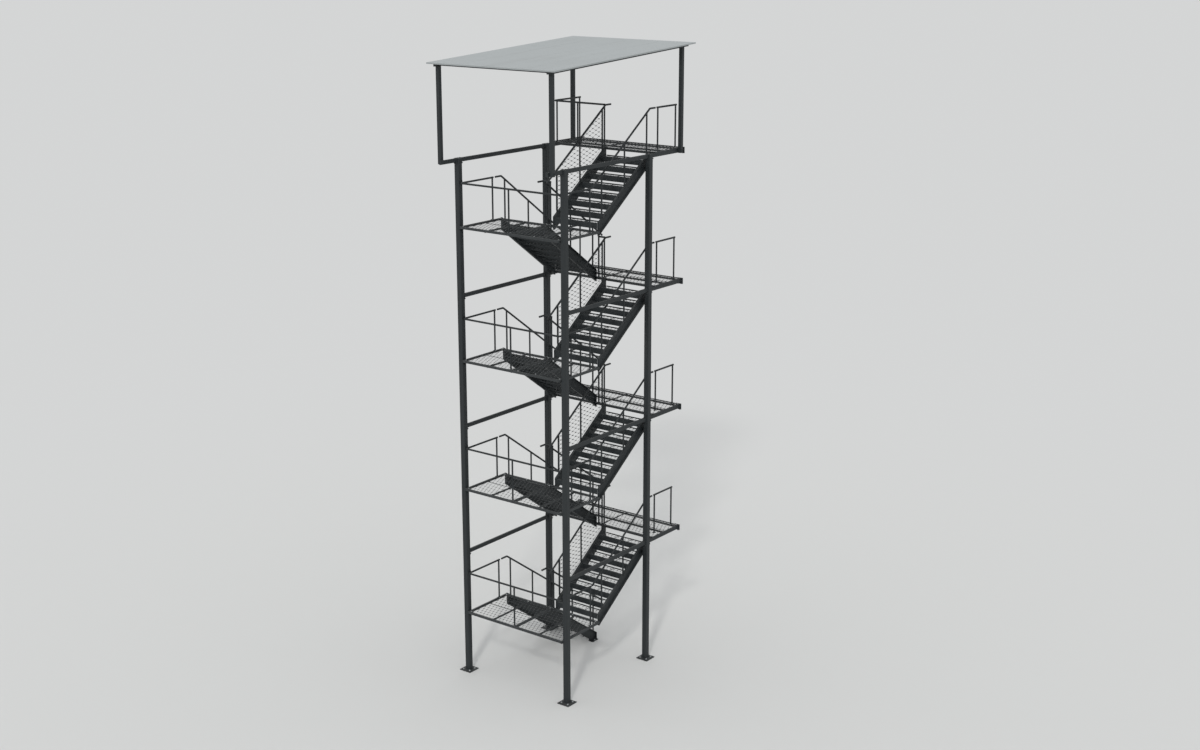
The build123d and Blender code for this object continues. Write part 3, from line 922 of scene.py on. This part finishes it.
class STAIR_OT_treads(Operator):
    """Makes the open treads with their riser plates"""

    bl_idname = "stair.treads"
    bl_label = "Treads"

    def execute(self, context):
        settings = context.scene.stair_tread
        pattern = tread_pattern(solid_points("treads_1")[0], settings, context.scene.stair_mesh)
        for storey in STOREYS:
            node = f"treads_{storey}"
            places = []
            for low, high in solid_boxes(node):
                middle = (low.x + high.x) / 2
                nose, turn = (low.y, 0) if middle > 0 else (high.y, math.pi)
                place = Matrix.Translation((middle, nose, high.z))
                places.append(place @ Matrix.Rotation(turn, 4, "Z"))
            shape = bmesh.new()
            stamp(shape, pattern, places)
            make_piece(f"open_treads_{storey}", shape, "tread_steel", "tread_steel", node)
        return {"FINISHED"}


# ---- Bolts and welds ---------------------------------------------------------------------

# Sizes of CAD pieces that the frame's boxes don't give.
END_PLATE = 0.012
END_PLATE_DROP = 0.04
WALL_PLATE = 0.015
BEAM_WIDTH = 0.06
BEAM_HEIGHT = 0.1
MID_FRAME_WIDTH = 0.04
MID_FRAME_HEIGHT = 0.06
STRINGER_WEB = 0.008
STRINGER_FLANGE = 0.0123
GUARD_FOOT_SIDE = 0.08
GUARD_FOOT_HEIGHT = 0.008
GUARD_POST_HALF = 0.015
FLIGHT_FOOT_LENGTH = 0.24

# Places of the fixings on those pieces.
END_BOLT_OFFSET = 0.045
TREAD_BOLT_DROP = 0.045
TREAD_BOLT_OFFSETS = (0.06, 0.21)
GUARD_BOLT_OFFSET = 0.028
FLIGHT_ANCHOR_OFFSET = 0.052
LAP_BOLT_SHARES = (0.2, 0.55)
CAP = 0.003
DISC_TOLERANCE = 0.06


def pattern_holes(mount, centre, second_way):
    """Hole places of a mount's bolt pattern round a centre, along X and a second way."""
    half_x = mount["dims"]["spacing_x_mm"] * MILLIMETRE / 2
    half_y = mount["dims"]["spacing_y_mm"] * MILLIMETRE / 2
    return [
        Vector(centre) + ALONG_X * half_x * right + second_way * half_y * up
        for right in (-1, 1) for up in (-1, 1)
    ]


def base_mounts():
    """The mounts of the base plates."""
    return [mount for name, mount in MOUNTS.items() if name.startswith("base_")]


def foot_centres(node, floor):
    """Centres of a guard's foot plates, from the corners that it has on the floor."""
    corners = {
        (round(vert.co.x, 4), round(vert.co.y, 4))
        for vert in frame["nodes"][node].data.vertices
        if abs(vert.co.z - floor) < MILLIMETRE
    }
    side = GUARD_FOOT_SIDE
    return [
        (x + side / 2, y + side / 2) for x, y in sorted(corners)
        if (round(x + side, 4), y) in corners and (x, round(y + side, 4)) in corners
    ]


def guard_feet():
    """Every foot plate: its centre and the floor it stands on."""
    feet = []
    for storey in STOREYS:
        floors = (("mid", mid_floor(storey)), ("door", door_floor(storey)))
        for place, floor in floors:
            feet += [(x, y, floor) for x, y in foot_centres(f"{place}_guard_{storey}", floor)]
    return feet


def elbow_radius():
    """Radius of the rail tubes, from the height of a bend."""
    low, high = solid_boxes("guard_elbows")[0]
    return (high.z - low.z) / 2


def elbow_ends():
    """Middle and direction of the tube at both ends of every bend."""
    radius = elbow_radius()
    ends = []
    for low, high in solid_boxes("guard_elbows"):
        height = (low.z + high.z) / 2
        outer, inner, way = (high.x, low.x, 1) if low.x > 0 else (low.x, high.x, -1)
        ends.append((Vector((inner, low.y + radius, height)), ALONG_X))
        ends.append((Vector((outer - way * radius, high.y, height)), ALONG_Y))
    return ends


def round_ends(node, radius):
    """Centre and outward direction of each flat round end of a node's tubes."""
    skin = bmesh.new()
    skin.from_mesh(frame["nodes"][node].data)
    bmesh.ops.remove_doubles(skin, verts=skin.verts, dist=MERGE)
    bmesh.ops.dissolve_limit(
        skin, angle_limit=math.radians(0.5), verts=skin.verts, edges=skin.edges,
        delimit={"NORMAL"},
    )
    disc = math.pi * radius * radius
    ends = []
    for face in skin.faces:
        centre = face.calc_center_bounds()
        reach = max((vert.co - centre).length for vert in face.verts)
        if abs(face.calc_area() / disc - 1) < DISC_TOLERANCE and abs(reach - radius) < MILLIMETRE:
            ends.append((centre, face.normal.copy()))
    skin.free()
    return ends


def beam_ends(level):
    """Each bolted end of a level's beams: the middle of the plate's face and which way it looks."""
    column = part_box("column_front_left")
    wall_y = MOUNTS["wall_left_1"]["pos_m"][1]
    ends = []
    for low, high in solid_boxes(f"side_beams_{level}"):
        x = (low.x + high.x) / 2
        if low.y > column[0].y:
            ends.append((x, low.y + END_PLATE, 1))
        if high.y < wall_y - END_PLATE:
            ends.append((x, high.y - END_PLATE, -1))
    return ends


def beam_bottom(level):
    """Height of the underside of a level's beams."""
    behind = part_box("column_rear_left")[1].y
    spans = [low for low, high in solid_boxes(f"side_beams_{level}") if high.y < behind]
    return spans[0].z + END_PLATE_DROP


class STAIR_OT_ground_anchors(Operator):
    """Makes the anchor nuts on the base plates and on the foot of the first flight"""

    bl_idname = "stair.ground_anchors"
    bl_label = "Ground anchors"

    def execute(self, context):
        settings = context.scene.stair_fixing
        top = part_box("base_plates")[1].z
        outer, inner = (box for box in solid_boxes("stringers_1") if box[0].x < 0)
        low, high = outer
        places = []
        for mount in base_mounts():
            for hole in pattern_holes(mount, mount["pos_m"], ALONG_Y):
                under_stringer = low.x < hole.x < high.x and low.y < hole.y < high.y
                hole.z = top + (STRINGER_FLANGE if under_stringer else 0)
                places.append(Matrix.Translation(hole))
        shape = bmesh.new()
        stamp(shape, hexagon_bolt(settings.anchor_flats), places)
        low, high = inner
        middle = Vector(((low.x + high.x) / 2, high.y - FLIGHT_FOOT_LENGTH / 2, top))
        places = [
            Matrix.Translation(middle + ALONG_X * FLIGHT_ANCHOR_OFFSET * side) for side in (-1, 1)
        ]
        stamp(shape, hexagon_bolt(settings.beam_flats), places)
        make_piece("ground_anchors", shape, "bolt_zinc", "landing_steel")
        return {"FINISHED"}


class STAIR_OT_beam_bolts(Operator):
    """Makes the bolts of the beams' end plates, of the wall plates and of the canopy posts"""

    bl_idname = "stair.beam_bolts"
    bl_label = "Beam bolts"

    def execute(self, context):
        bolt = hexagon_bolt(context.scene.stair_fixing.beam_flats)
        wall_drop = door_floor(1) - MOUNTS["wall_left_1"]["pos_m"][2]
        shape = bmesh.new()
        for level in STOREYS:
            height = beam_bottom(level) - END_PLATE_DROP / 2
            places = [
                pointing((0, way, 0), (x + side * END_BOLT_OFFSET, y, height))
                for x, y, way in beam_ends(level) for side in (-1, 1)
            ]
            for side in ("left", "right"):
                mount = MOUNTS[f"wall_{side}_1"]
                x, y, _ = mount["pos_m"]
                centre = (x, y - WALL_PLATE, door_floor(level) - wall_drop)
                holes = pattern_holes(mount, centre, ALONG_Z)
                places += [pointing((0, -1, 0), hole) for hole in holes]
            stamp(shape, bolt, places)
        top_floor = door_floor(STOREYS[-1])
        for low, high in solid_boxes("canopy_posts"):
            way, face = (1, high.x) if low.x > 0 else (-1, low.x)
            middle = (low.y + high.y) / 2
            heights = [low.z + part * (top_floor - low.z) for part in LAP_BOLT_SHARES]
            stamp(shape, bolt, [pointing((way, 0, 0), (face, middle, z)) for z in heights])
        make_piece("beam_bolts", shape, "frame_steel", "frame_steel")
        return {"FINISHED"}


class STAIR_OT_tread_bolts(Operator):
    """Makes the bolts that hold the treads to the stringers"""

    bl_idname = "stair.tread_bolts"
    bl_label = "Tread bolts"

    def execute(self, context):
        bolt = hexagon_bolt(context.scene.stair_fixing.tread_flats, shank=False)
        for storey in STOREYS:
            places = []
            for low, high in solid_boxes(f"treads_{storey}"):
                nose, way = (low.y, 1) if low.x > 0 else (high.y, -1)
                height = high.z - TREAD_BOLT_DROP
                for offset in TREAD_BOLT_OFFSETS:
                    y = nose + way * offset
                    places.append(pointing((-1, 0, 0), (low.x - STRINGER_WEB, y, height)))
                    places.append(pointing((1, 0, 0), (high.x + STRINGER_WEB, y, height)))
            shape = bmesh.new()
            stamp(shape, bolt, places)
            make_piece(f"tread_bolts_{storey}", shape, "stringer_steel", "stringer_steel")
        return {"FINISHED"}


class STAIR_OT_post_feet(Operator):
    """Makes the bolts and welds at the feet of the guard posts"""

    bl_idname = "stair.post_feet"
    bl_label = "Post feet"

    def execute(self, context):
        settings = context.scene.stair_fixing
        bolt = hexagon_bolt(settings.foot_flats)
        weld = weld_ring(GUARD_POST_HALF, GUARD_POST_HALF, settings.weld)
        offsets = [
            Vector((right, back, 0)) * GUARD_BOLT_OFFSET for right in (-1, 1) for back in (-1, 1)
        ]
        bolts = bmesh.new()
        welds = bmesh.new()
        for x, y, floor in guard_feet():
            top = Vector((x, y, floor + GUARD_FOOT_HEIGHT))
            stamp(bolts, bolt, [Matrix.Translation(top + offset) for offset in offsets])
            stamp(welds, weld, [Matrix.Translation(top)])
        make_piece("post_bolts", bolts, "bolt_zinc", "landing_steel")
        make_piece("post_welds", welds, "rail_steel", "rail_steel")
        return {"FINISHED"}


class STAIR_OT_rail_ends(Operator):
    """Makes the plugs in the open ends of the rails and the weld beads at their bends"""

    bl_idname = "stair.rail_ends"
    bl_label = "Rail ends"

    def execute(self, context):
        radius = elbow_radius()
        joints = elbow_ends()
        plug = end_plug(radius)
        plugs = bmesh.new()
        for storey in STOREYS:
            for kind in ("mid_guard", "door_guard", "flight_rails"):
                places = [
                    pointing(way, centre) for centre, way in round_ends(f"{kind}_{storey}", radius)
                    if all((centre - joint).length > radius for joint, _ in joints)
                ]
                stamp(plugs, plug, places)
        if not plugs.verts:
            raise RuntimeError("no open rail end was found in the frame")
        make_piece("rail_plugs", plugs, "plug_black", "rail_steel")
        beads = bmesh.new()
        ring = bead(radius, context.scene.stair_fixing.weld)
        stamp(beads, ring, [pointing(way, centre) for centre, way in joints])
        make_piece("rail_beads", beads, "rail_steel", "rail_steel")
        return {"FINISHED"}


class STAIR_OT_beam_ends(Operator):
    """Makes the welds between the beams and their plates, and the caps on open beam ends"""

    bl_idname = "stair.beam_ends"
    bl_label = "Beam ends"

    def execute(self, context):
        weld = weld_ring(BEAM_WIDTH / 2, BEAM_HEIGHT / 2, context.scene.stair_fixing.weld)
        wall_face = MOUNTS["wall_left_1"]["pos_m"][1] - WALL_PLATE
        welds = bmesh.new()
        for level in STOREYS:
            middle = beam_bottom(level) + BEAM_HEIGHT / 2
            ends = beam_ends(level)
            ends += [(x, wall_face, -1) for x in sorted({x for x, _, _ in ends})]
            stamp(welds, weld, [pointing((0, way, 0), (x, y, middle)) for x, y, way in ends])
        make_piece("beam_welds", welds, "frame_steel", "frame_steel")
        caps = bmesh.new()
        self.outrigger_caps(caps)
        self.landing_caps(caps)
        make_piece("beam_caps", caps, "frame_steel", "frame_steel")
        return {"FINISHED"}

    def outrigger_caps(self, caps):
        """Caps on the front ends of the beams that carry the canopy's front posts."""
        bottom = beam_bottom(STOREYS[-1])
        column_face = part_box("column_front_left")[0].y
        for low, high in solid_boxes(f"side_beams_{STOREYS[-1]}"):
            if high.y < column_face + MILLIMETRE:
                left = (low.x + high.x - BEAM_WIDTH) / 2
                corner = (left, low.y - CAP, bottom)
                add_bar(caps, corner, (left + BEAM_WIDTH, low.y, bottom + BEAM_HEIGHT))

    def landing_caps(self, caps):
        """Caps on both ends of the side bars of the landings halfway up."""
        for storey in STOREYS:
            low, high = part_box(f"mid_landing_frame_{storey}")
            bottom = high.z - MID_FRAME_HEIGHT
            for x in (low.x, high.x - MID_FRAME_WIDTH):
                for y in (low.y - CAP, high.y):
                    add_bar(caps, (x, y, bottom), (x + MID_FRAME_WIDTH, y + CAP, high.z))


class STAIR_OT_column_welds(Operator):
    """Makes the welds that join the columns to their base plates"""

    bl_idname = "stair.column_welds"
    bl_label = "Column welds"

    def execute(self, context):
        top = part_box("base_plates")[1].z
        low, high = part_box("column_rear_left")
        half = (high.y - low.y) / 2
        weld = weld_ring(half, half, context.scene.stair_fixing.weld)
        shape = bmesh.new()
        for mount in base_mounts():
            x, y, _ = mount["pos_m"]
            stamp(shape, weld, [Matrix.Translation((x, y, top))])
        make_piece("column_welds", shape, "frame_steel", "frame_steel")
        return {"FINISHED"}


# ---- Roof --------------------------------------------------------------------------------

PURLIN_INSET = 0.147
PURLIN_PITCH = 1.34


def roof_thickness():
    """Upright thickness of the roof panel, from the corners of its front edge."""
    front_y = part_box("roof_panel")[0].y + MILLIMETRE
    points = (vert.co for vert in frame["nodes"]["roof_panel"].data.vertices)
    front = [point.z for point in points if point.y < front_y]
    return max(front) - min(front)


def lean_with_roof(shape, start_y, slope):
    """Leans a level shape up along Y with the roof."""
    matrix = Matrix(((1, 0, 0, 0), (0, 1, 0, 0), (0, slope, 1, -slope * start_y), (0, 0, 0, 1)))
    bmesh.ops.transform(shape, matrix=matrix, verts=shape.verts[:])


class STAIR_OT_roof_sheets(Operator):
    """Makes the roof of sheets side by side, and the screws that hold them"""

    bl_idname = "stair.roof_sheets"
    bl_label = "Roof sheets"

    def execute(self, context):
        settings = context.scene.stair_roof
        screw = hexagon_bolt(context.scene.stair_fixing.screw_flats, shank=False)
        low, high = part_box("roof_panel")
        thickness = roof_thickness()
        slope = (high.z - low.z - thickness) / (high.y - low.y)
        top = low.z + thickness
        groove = thickness / 4
        width = (high.x - low.x - (settings.sheets - 1) * settings.joint) / settings.sheets
        purlins = spread(low.y + PURLIN_INSET, high.y - PURLIN_INSET, PURLIN_PITCH)
        sheets = bmesh.new()
        screws = bmesh.new()
        for number in range(settings.sheets):
            start = low.x + number * (width + settings.joint)
            add_bar(sheets, (start, low.y, low.z), (start + width, high.y, top))
            if number:
                tongue = (start - settings.joint, low.y, low.z + groove)
                add_bar(sheets, tongue, (start, high.y, top - groove))
            for lane in range(settings.screws):
                x = start + width * (lane + 0.5) / settings.screws
                stamp(screws, screw, [Matrix.Translation((x, y, top)) for y in purlins])
        for shape in (sheets, screws):
            lean_with_roof(shape, low.y, slope)
        make_piece("roof_sheets", sheets, "roof_sheet", "roof_sheet", "roof_panel")
        make_piece("roof_screws", screws, "bolt_zinc", "landing_steel")
        return {"FINISHED"}


# ---- Stage -------------------------------------------------------------------------------

FLOOR_RADIUS = 160
FADE_START = 9
FADE_END = 34


class STAIR_OT_stage(Operator):
    """Makes the floor, the backdrop, the lamps and the camera"""

    bl_idname = "stair.stage"
    bl_label = "Stage"

    def execute(self, context):
        scene = context.scene
        settings = scene.stair_stage
        scene.view_settings.view_transform = "Standard"
        self.floor(settings)
        self.backdrop(scene, settings)
        self.lamp(scene, settings)
        self.camera(scene, settings)
        return {"FINISHED"}

    def floor(self, settings):
        """A pale round floor that fades into the backdrop away from the stair."""
        shader = new_finish("floor")
        distance = shader.node(
            "ShaderNodeVectorMath", {"operation": "LENGTH"}, {0: shader.place()}, "Value",
        )
        far = shader.ramp(distance, FADE_START, FADE_END) * shader.seen()
        near = shader.finish(base_color=(*settings.floor_colour, 1), roughness=0.9)
        glow = shader.node("ShaderNodeEmission", {}, {"Color": (*settings.backdrop_colour, 1)})
        mixed = shader.node("ShaderNodeMixShader", {}, {0: far, 1: near, 2: glow})
        shader.feed(shader.end, mixed)
        shape = bmesh.new()
        bmesh.ops.create_circle(shape, cap_ends=True, segments=96, radius=FLOOR_RADIUS)
        make_object("floor", shape, shader.owner)

    def backdrop(self, scene, settings):
        """The sky: even light on the stair, and the backdrop's colour where it is seen."""
        scene.world = bpy.data.worlds.new("sky")
        shader = Shader(scene.world)
        light = shader.finish(color=(*settings.sky_colour, 1), strength=settings.sky)
        wall = shader.node("ShaderNodeBackground", {}, {"Color": (*settings.backdrop_colour, 1)})
        mixed = shader.node("ShaderNodeMixShader", {}, {0: shader.seen(), 1: light, 2: wall})
        shader.feed(shader.end, mixed)

    def lamp(self, scene, settings):
        """One soft and weak sun, behind the camera."""
        sun = bpy.data.lights.new("sun", "SUN")
        sun.energy = settings.sun
        sun.angle = settings.sun_size
        sun.color = settings.sun_colour
        lamp = bpy.data.objects.new("sun", sun)
        lamp.rotation_euler = (settings.sun_tilt, 0, settings.sun_heading)
        scene.collection.objects.link(lamp)

    def camera(self, scene, settings):
        """The camera, which looks down on the stair from its open right corner."""
        lens = bpy.data.cameras.new("camera")
        lens.sensor_width = 36
        lens.lens = settings.lens
        lens.clip_end = 2 * FLOOR_RADIUS
        camera = bpy.data.objects.new("camera", lens)
        camera.location = settings.camera_place
        camera.rotation_euler = (math.radians(90) - settings.camera_dip, 0, settings.camera_heading)
        scene.collection.objects.link(camera)
        scene.camera = camera


# ---- Panel and registration --------------------------------------------------------------

OPERATORS = (
    STAIR_OT_finishes,
    STAIR_OT_decks,
    STAIR_OT_deck_clips,
    STAIR_OT_mesh_panels,
    STAIR_OT_treads,
    STAIR_OT_ground_anchors,
    STAIR_OT_beam_bolts,
    STAIR_OT_tread_bolts,
    STAIR_OT_post_feet,
    STAIR_OT_rail_ends,
    STAIR_OT_beam_ends,
    STAIR_OT_column_welds,
    STAIR_OT_roof_sheets,
    STAIR_OT_stage,
)


class VIEW3D_PT_stair(Panel):
    """Lists the stair's settings and the steps that make its pieces."""

    bl_label = "Fire Escape Stair"
    bl_idname = "VIEW3D_PT_stair"
    bl_space_type = "VIEW_3D"
    bl_region_type = "UI"
    bl_category = "Stair"

    def draw(self, context):
        for name, group in SETTINGS.items():
            box = self.layout.box()
            settings = getattr(context.scene, name)
            for field in group.__annotations__:
                box.prop(settings, field)
        for operator in OPERATORS:
            self.layout.operator(operator.bl_idname)


CLASSES = (*SETTINGS.values(), *OPERATORS, VIEW3D_PT_stair)


def register():
    """Registers the classes and hangs the settings on the scene."""
    for item in CLASSES:
        bpy.utils.register_class(item)
    for name, group in SETTINGS.items():
        setattr(bpy.types.Scene, name, PointerProperty(type=group))


def unregister():
    """Takes the settings and the classes away again."""
    for name in SETTINGS:
        delattr(bpy.types.Scene, name)
    for item in reversed(CLASSES):
        bpy.utils.unregister_class(item)


def main():
    """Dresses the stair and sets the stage."""
    register()
    for operator in OPERATORS:
        family, name = operator.bl_idname.split(".")
        getattr(getattr(bpy.ops, family), name)()


if __name__ == "__main__":
    main()
